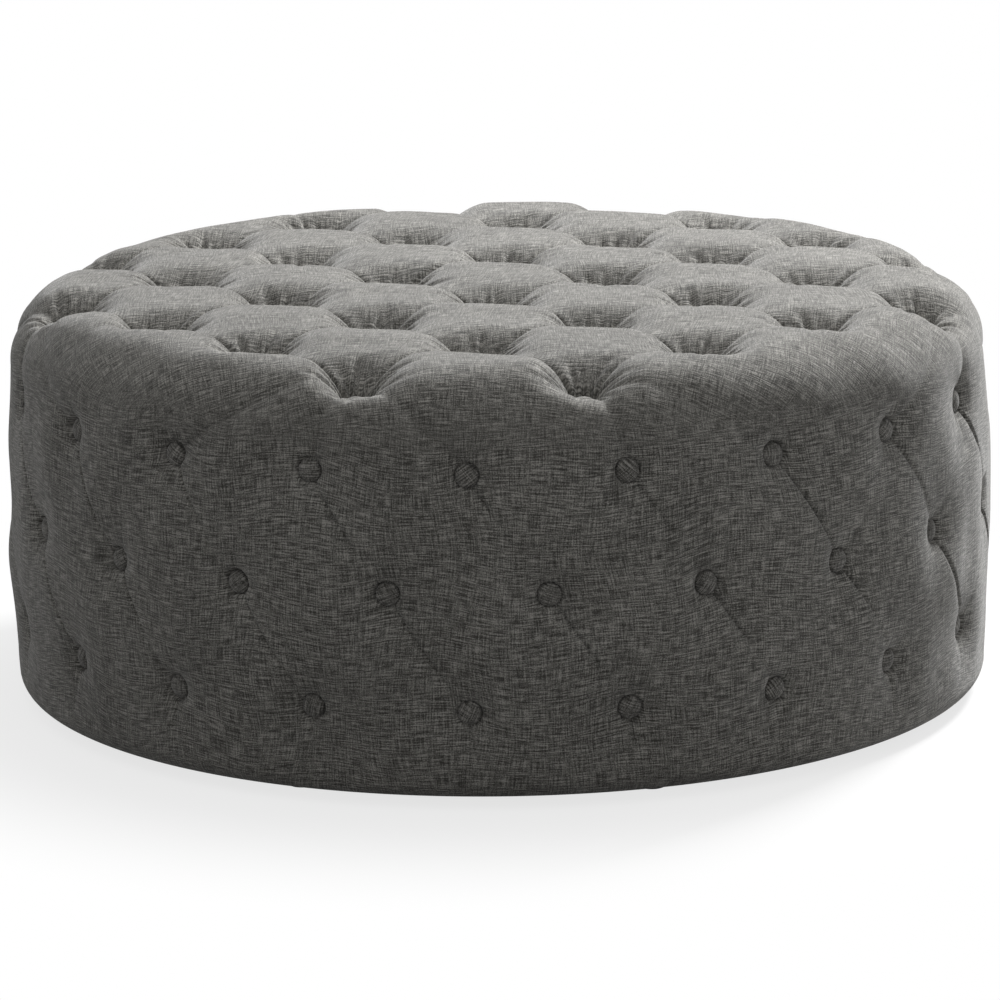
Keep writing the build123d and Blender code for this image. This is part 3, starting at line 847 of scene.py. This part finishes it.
def lay_weave(cover, plan, spans, turns):
    """Flat places of the cloth: one map for the top, one wrapped round the side, and a blend."""
    mesh = cover.data
    corners = corner_vertices(mesh)
    starts = np.empty(len(mesh.polygons), dtype=int)
    mesh.polygons.foreach_get("loop_start", starts)
    counts = np.empty(len(mesh.polygons), dtype=int)
    mesh.polygons.foreach_get("loop_total", counts)
    owner = np.repeat(np.arange(len(starts)), counts)
    mesh.uv_layers.new(name="top_weave").uv.foreach_set("vector", plan[corners].ravel())
    turn = swing(turns, -math.pi / 2)[corners]
    wide = np.maximum.reduceat(turn, starts) - np.minimum.reduceat(turn, starts) > math.pi
    turn = np.where(wide[owner] & (turn < 0), turn + 2 * math.pi, turn)
    flat = np.stack([turn * OUTER_RADIUS, spans[corners]], axis=1)
    mesh.uv_layers.new(name="side_weave").uv.foreach_set("vector", flat.ravel())
    set_side_share(mesh, np.clip((spans - SIDE_WEAVE_START) / SIDE_WEAVE_RUN, 0, 1))


def make_cover():
    cover = make_flat_cover("tufted_cover")
    refine(cover, near_top_buttons, FINE_REACH)
    refine(cover, near_side_buttons, SIDE_FINE_REACH)
    refine(cover, near_creases, CREASE_FINE_REACH)
    refine(cover, near_hairlines, CREASE_FINE_REACH)
    plan, spans, turns = shape_cover(cover)
    close_base(cover, spans)
    lay_weave(cover, plan, spans, turns)
    smooth_faces(cover)
    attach(cover, "root")
    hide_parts("upholstery_cover")
    return cover


# Covered buttons
def make_button():
    """One button: cloth drawn over a domed shell and gathered under its rim."""
    crown = BUTTON_RIM + BUTTON_CROWN
    angles = np.linspace(0, math.pi / 2, BUTTON_CROWN_POINTS)
    levels = crown - BUTTON_CROWN * (1 - np.cos(angles)) ** BUTTON_CROWN_POWER
    profile = list(zip(BUTTON_RADIUS * np.sin(angles), levels))
    profile += [
        (BUTTON_RADIUS, BUTTON_SKIRT_LEVEL),
        (BUTTON_RADIUS - BUTTON_UNDERCUT, BUTTON_BACK_LEVEL),
        (0.0, 0.0),
    ]
    button = new_piece("button", [(x, 0, z) for x, z in profile], spokes=len(profile) - 1)
    edit(button)
    spin_round(BUTTON_STEPS)
    bpy.ops.mesh.select_all(action="SELECT")
    bpy.ops.mesh.remove_doubles(threshold=BUTTON_MERGE_DISTANCE)
    bpy.ops.mesh.normals_make_consistent(inside=False)
    stop_editing()
    points = coordinates(button)
    away, turn = polar(points)
    gathers = BUTTON_GATHER_DEPTH * np.cos(turn * BUTTON_GATHERS)
    gathers = gathers * np.clip(away / BUTTON_RADIUS, 0, 1) ** BUTTON_GATHER_POWER
    points[:, :2] *= (1 - gathers / np.maximum(away, BUTTON_EYE))[:, None]
    put_coordinates(button, points)
    smooth_faces(button)
    return button


def top_frames():
    """Places of the top buttons, each with its direction out of the seat."""
    frames = []
    for x, y in top_buttons():
        level = top_level(math.hypot(x, y)) - TOP_SEAT_DEPTH + SEAT_GAP
        frames.append(Matrix.Translation((x, y, level)))
    return frames


def side_frames(row):
    """Places of one row of side buttons, their Z axis outwards."""
    lean = math.asin((SIDE_ROWS[row] - SIDE_MIDDLE) / SIDE_ARC_RADIUS)
    mouth = OUTER_RADIUS - SIDE_ARC_RADIUS * (1 - math.cos(lean))
    frames = []
    for turn in side_turns(row):
        outward = Vector((
            math.cos(turn) * math.cos(lean), math.sin(turn) * math.cos(lean), math.sin(lean)
        ))
        place = Vector((mouth * math.cos(turn), mouth * math.sin(turn), SIDE_ROWS[row]))
        place -= outward * (SIDE_SEAT_DEPTH - SEAT_GAP)
        facing = outward.to_track_quat("Z", "Y").to_matrix().to_4x4()
        frames.append(Matrix.Translation(place) @ facing)
    return frames


def copy_button(pattern, name, place, random):
    """One button at its place, its weave turned and shifted at random."""
    button = bpy.data.objects.new(name, pattern.data.copy())
    bpy.context.scene.collection.objects.link(button)
    mesh = button.data
    spin = random.uniform(0, 2 * math.pi)
    rotation = np.array([[math.cos(spin), math.sin(spin)], [-math.sin(spin), math.cos(spin)]])
    flat = coordinates(pattern)[corner_vertices(mesh), :2] @ rotation
    flat = flat + random.uniform(0, 1, size=2)
    for layer in ("top_weave", "side_weave"):
        mesh.uv_layers.new(name=layer).uv.foreach_set("vector", flat.ravel())
    set_side_share(mesh, np.ones(len(mesh.vertices)))
    mesh.transform(place)
    return button


def make_buttons():
    """A copy of the button at each place, joined row by row."""
    pattern = make_button()
    random = np.random.default_rng(BUTTON_SEED)
    groups = {"top_buttons": top_frames()}
    groups.update({"side_buttons_" + row: side_frames(row) for row in SIDE_ROWS})
    rows = []
    for node, frames in groups.items():
        copies = [copy_button(pattern, "covered_" + node, place, random) for place in frames]
        pick_pieces(copies[::-1])
        bpy.ops.object.join()
        row = copies[0]
        row.name = "covered_" + node
        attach(row, "root")
        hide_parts(node)
        rows.append(row)
    bpy.data.objects.remove(pattern)
    return rows


# Materials
class Field:
    """A value that varies over a surface and can be used in plain sums."""

    def __init__(self, paint, socket):
        self.paint = paint
        self.socket = socket

    def math(self, operation, *others):
        return self.paint.add("ShaderNodeMath", {"operation": operation}, [self, *others])

    def __add__(self, other):
        return self.math("ADD", other)

    def __mul__(self, other):
        return self.math("MULTIPLY", other)

    def __sub__(self, other):
        return self.math("SUBTRACT", other)

    def __rsub__(self, other):
        return self.paint.add("ShaderNodeMath", {"operation": "SUBTRACT"}, [other, self])

    __radd__ = __add__
    __rmul__ = __mul__

    def clip(self):
        return self.paint.add("ShaderNodeClamp", {}, [self])


class Paint:
    """A material, or the world, being painted with nodes."""

    def __init__(self, owner):
        owner.use_nodes = True
        self.owner = owner
        self.nodes = owner.node_tree.nodes
        self.links = owner.node_tree.links
        self.nodes.clear()

    def add(self, kind, settings, values, output=0):
        node = self.nodes.new(kind)
        for name, value in settings.items():
            if name == "stops":
                ramp = node.color_ramp.elements
                while len(ramp) < len(value):
                    ramp.new(0.5)
                for stop, (place, colour) in zip(ramp, value):
                    stop.position = place
                    stop.color = (*colour, 1)
            else:
                setattr(node, name, value)
        pairs = values.items() if isinstance(values, dict) else enumerate(values)
        for key, value in pairs:
            if isinstance(value, Field):
                self.links.new(value.socket, node.inputs[key])
            else:
                node.inputs[key].default_value = value
        return Field(self, node.outputs[output]) if node.outputs else None

    def place(self):
        """Where a point lies on the object."""
        return self.add("ShaderNodeTexCoord", {}, {}, output="Object")

    def stretch(self, place, scale):
        return self.add("ShaderNodeVectorMath", {"operation": "MULTIPLY"}, [place, scale])

    def noise(self, place, scale=1.0, detail=2.0, rough=0.5, output=0):
        values = {"Vector": place, "Scale": scale, "Detail": detail, "Roughness": rough}
        return self.add("ShaderNodeTexNoise", {}, values, output=output)

    def ramp(self, value, stops):
        return self.add("ShaderNodeValToRGB", {"stops": stops}, [value])

    def bump(self, height, distance, strength=1.0):
        values = {"Height": height, "Distance": distance, "Strength": strength}
        return self.add("ShaderNodeBump", {}, values)

    def surface(self, values):
        shader = self.add("ShaderNodeBsdfPrincipled", {}, values)
        self.add("ShaderNodeOutputMaterial", {}, [shader])


# Weave of the cloth
THREAD_PITCH = 0.0013
THREAD_STREAK = 0.020
THREAD_STRENGTH = 0.80
SLUB_PITCH = 0.0024
SLUB_STREAK = 0.060
SLUB_STRENGTH = 0.18
WARP_SHARE = 0.80
WEFT_SHARE = 1.20
THREAD_DRIFT = 0.030
DRIFT_SCALE = 8.0
SPECK_SCALE = 700.0
SPECK_STRENGTH = 0.5
CLOUD_SCALE = 9.0
CLOUD_STRENGTH = 0.12
CLOTH_STOPS = (0.27, 0.5, 0.76)
LINEN_COLOURS = ((0.042, 0.040, 0.035), (0.135, 0.131, 0.120), (0.34, 0.33, 0.305))
BUTTON_COLOURS = ((0.042, 0.040, 0.035), (0.125, 0.121, 0.111), (0.31, 0.30, 0.28))
CLOTH_RELIEF = 0.0006
CLOTH_RELIEF_STRENGTH = 0.7

# Finishes of the pieces that the cover hides, each by its slot
GRAIN_STOPS = (0.35, 0.65)
FIBRES_TO_A_RING = 8
FIBRE_SHARE = 0.3
TIMBER_ROUGHNESS = 0.55
FIBRE_ROUGHNESS = 0.2
FIBRE_RELIEF = 0.0003
# Name, pale and dark colours, rings to a metre across and along the grain
TIMBERS = {
    "plywood": ("raw_plywood", (0.62, 0.46, 0.28), (0.45, 0.31, 0.17), 30.0, 2.0),
    "softwood": ("planed_softwood", (0.68, 0.5, 0.3), (0.5, 0.33, 0.17), 45.0, 1.5),
}
# Name, dark and light colours, roughness, metallic, spots to a metre and depth of relief
MOTTLED = {
    "foam": ("open_foam", (0.62, 0.55, 0.36), (0.8, 0.74, 0.55), 0.9, 0.0, 900, 0.0008),
    "twine": ("waxed_twine", (0.03, 0.03, 0.03), (0.1, 0.1, 0.1), 0.6, 0.0, 1500, 0.0003),
    "washer_steel": ("zinc_washer", (0.5, 0.5, 0.5), (0.65, 0.65, 0.66), 0.35, 1.0, 260, 0.0001),
    "screw_steel": ("zinc_screw", (0.55, 0.5, 0.33), (0.7, 0.66, 0.5), 0.32, 1.0, 300, 0.0001),
    "staple_steel": ("bright_staple", (0.5, 0.5, 0.52), (0.65, 0.65, 0.67), 0.3, 1.0, 400, 0.00005),
    "dust_cloth": (
        "bonded_dust_cloth", (0.012, 0.012, 0.013), (0.04, 0.04, 0.042), 0.85, 0.0, 700, 0.0004
    ),
    "glide_plastic": (
        "glide_plastic", (0.02, 0.02, 0.02), (0.035, 0.035, 0.035), 0.45, 0.0, 500, 0.0001
    ),
}
MOTTLE_ROUGHNESS = 0.15


def weave(paint, place):
    """Tone of crossing slubby threads, around a half, at flat places of the cloth."""
    drift = paint.noise(place, scale=DRIFT_SCALE, detail=0.0, output="Color")
    amount = (THREAD_DRIFT, THREAD_DRIFT, 0.0)
    place = paint.add("ShaderNodeVectorMath", {"operation": "MULTIPLY_ADD"}, [drift, amount, place])
    threads = 0.0
    for pitch, streak, strength in (
        (THREAD_PITCH, THREAD_STREAK, THREAD_STRENGTH),
        (SLUB_PITCH, SLUB_STREAK, SLUB_STRENGTH),
    ):
        for scale, share in (
            ((1 / pitch, 1 / streak, 1.0), WARP_SHARE),
            ((1 / streak, 1 / pitch, 1.0), WEFT_SHARE),
        ):
            thread = paint.noise(paint.stretch(place, scale), detail=1.0)
            threads = (thread - 0.5) * (strength * share) + threads
    speck = paint.noise(paint.stretch(place, (SPECK_SCALE, SPECK_SCALE, 1.0)), detail=0.0)
    return threads + (speck - 0.5) * SPECK_STRENGTH + 0.5


def make_linen(name, colours):
    """Woven melange cloth, its threads following the cloth's own flat maps."""
    paint = Paint(bpy.data.materials.new(name))
    top = weave(paint, paint.add("ShaderNodeUVMap", {"uv_map": "top_weave"}, {}))
    side = weave(paint, paint.add("ShaderNodeUVMap", {"uv_map": "side_weave"}, {}))
    share = paint.add("ShaderNodeAttribute", {"attribute_name": "side_share"}, {}, output="Fac")
    tone = top + (side - top) * share
    cloud = paint.noise(paint.place(), scale=CLOUD_SCALE)
    shade = (tone + (cloud - 0.5) * CLOUD_STRENGTH).clip()
    paint.surface({
        "Base Color": paint.ramp(shade, list(zip(CLOTH_STOPS, colours))),
        "Roughness": 0.92,
        "Specular IOR Level": 0.25,
        "Sheen Weight": 0.25,
        "Sheen Roughness": 0.5,
        "Normal": paint.bump(tone, CLOTH_RELIEF, CLOTH_RELIEF_STRENGTH),
    })
    return paint.owner


def make_timber(name, pale, dark, rings, streak):
    """Planed timber: long fibres with bands of late wood."""
    paint = Paint(bpy.data.materials.new(name))
    place = paint.place()
    bands = paint.noise(paint.stretch(place, (rings, rings, streak)), detail=3.0)
    fine = FIBRES_TO_A_RING * rings
    fibres = paint.noise(paint.stretch(place, (fine, fine, streak)), detail=2.0)
    shade = bands * (1 - FIBRE_SHARE) + fibres * FIBRE_SHARE
    paint.surface({
        "Base Color": paint.ramp(shade, list(zip(GRAIN_STOPS, (pale, dark)))),
        "Roughness": fibres * FIBRE_ROUGHNESS + TIMBER_ROUGHNESS,
        "Normal": paint.bump(fibres, FIBRE_RELIEF),
    })
    return paint.owner


def make_mottled(name, dark, light, roughness, metallic, scale, relief):
    """Foam, metal, plastic or bonded cloth with fine mottling."""
    paint = Paint(bpy.data.materials.new(name))
    fine = paint.noise(paint.place(), scale=scale, detail=3.0, rough=0.6)
    paint.surface({
        "Base Color": paint.ramp(fine, list(zip(GRAIN_STOPS, (dark, light)))),
        "Roughness": fine * MOTTLE_ROUGHNESS + (roughness - MOTTLE_ROUGHNESS / 2),
        "Metallic": metallic,
        "Normal": paint.bump(fine, relief),
    })
    return paint.owner


def put_on(piece, material):
    piece.data.materials.clear()
    piece.data.materials.append(material)


def paint_nodes():
    """A finish for every part of the frame and underside."""
    finishes = {slot: make_timber(*values) for slot, values in TIMBERS.items()}
    finishes.update({slot: make_mottled(*values) for slot, values in MOTTLED.items()})
    for part in frame["record"]["subparts"]:
        finish = finishes.get(part["material_slot"])
        if finish:
            put_on(frame["nodes"][part["node"]], finish)


# Studio
FLOOR_SIZE = 40
FLOOR_NEAR = 0.57
FLOOR_FAR = 0.9
FLOOR_BOUNCE = (0.35, 0.35, 0.35, 1)
FLOOR_TONE = (0.85, 0.85, 0.85, 1)
FLOOR_LIFT = 0.75
WHITE = (1, 1, 1, 1)
WORLD_LIGHT = 0.30
SKY_RISE = 0.85
LAMP_AIM = Vector((0, 0, 0.25))
# Name, place, width in metres and power in watts
LAMPS = (
    ("overhead_softbox", (0.3, 0.5, 2.6), 1.4, 12),
    ("right_softbox", (1.7, 1.9, 2.3), 0.7, 165),
)


def make_floor():
    """Pale floor that goes over to a white background away from the drum."""
    bpy.ops.object.select_all(action="DESELECT")
    bpy.ops.mesh.primitive_plane_add(size=FLOOR_SIZE)
    floor = bpy.context.object
    floor.name = "floor"
    paint = Paint(bpy.data.materials.new("pale_floor"))
    away = paint.add("ShaderNodeVectorMath", {"operation": "LENGTH"}, [paint.place()], output="Value")
    far = paint.add(
        "ShaderNodeMapRange", {"interpolation_type": "SMOOTHSTEP"},
        {"Value": away, "From Min": FLOOR_NEAR, "From Max": FLOOR_FAR, "To Min": 0.0, "To Max": 1.0},
    )
    seen = paint.add("ShaderNodeLightPath", {}, {}, output="Is Camera Ray")
    matt = paint.add("ShaderNodeBsdfDiffuse", {}, {"Color": FLOOR_BOUNCE})
    pale = paint.add("ShaderNodeBsdfDiffuse", {}, {"Color": FLOOR_TONE})
    white = paint.add("ShaderNodeEmission", {}, {"Color": WHITE, "Strength": 1.0})
    lifted = paint.add("ShaderNodeMixShader", {}, [FLOOR_LIFT, pale, white])
    shown = paint.add("ShaderNodeMixShader", {}, [far, lifted, white])
    surface = paint.add("ShaderNodeMixShader", {}, [seen, matt, shown])
    paint.add("ShaderNodeOutputMaterial", {}, [surface])
    floor.data.materials.append(paint.owner)


def make_sky():
    """Light that grows towards the zenith, with a white background for the eye."""
    world = bpy.data.worlds.new("studio")
    bpy.context.scene.world = world
    paint = Paint(world)
    rays = [
        paint.add("ShaderNodeLightPath", {}, {}, output=name)
        for name in ("Is Camera Ray", "Is Glossy Ray", "Is Transmission Ray")
    ]
    shown = rays[0].math("MAXIMUM", rays[1]).math("MAXIMUM", rays[2])
    direction = paint.add("ShaderNodeTexCoord", {}, {}, output="Generated")
    height = paint.add("ShaderNodeSeparateXYZ", {}, [direction], output="Z")
    sky = (height * SKY_RISE + 1.0) * WORLD_LIGHT
    strength = sky + shown * (1.0 - sky)
    light = paint.add("ShaderNodeBackground", {}, {"Color": WHITE, "Strength": strength})
    paint.add("ShaderNodeOutputWorld", {}, [light])


def make_lamps():
    for name, place, size, power in LAMPS:
        data = bpy.data.lights.new(name, "AREA")
        data.energy = power
        data.size = size
        lamp = bpy.data.objects.new(name, data)
        bpy.context.scene.collection.objects.link(lamp)
        lamp.location = place
        aim = LAMP_AIM - Vector(place)
        lamp.rotation_euler = aim.to_track_quat("-Z", "Y").to_euler()


bpy.context.scene.view_settings.view_transform = "Standard"
make_camera()
cover = make_cover()
rows = make_buttons()
put_on(cover, make_linen("grey_linen", LINEN_COLOURS))
button_cloth = make_linen("button_linen", BUTTON_COLOURS)
for row in rows:
    put_on(row, button_cloth)
paint_nodes()
make_floor()
make_sky()
make_lamps()
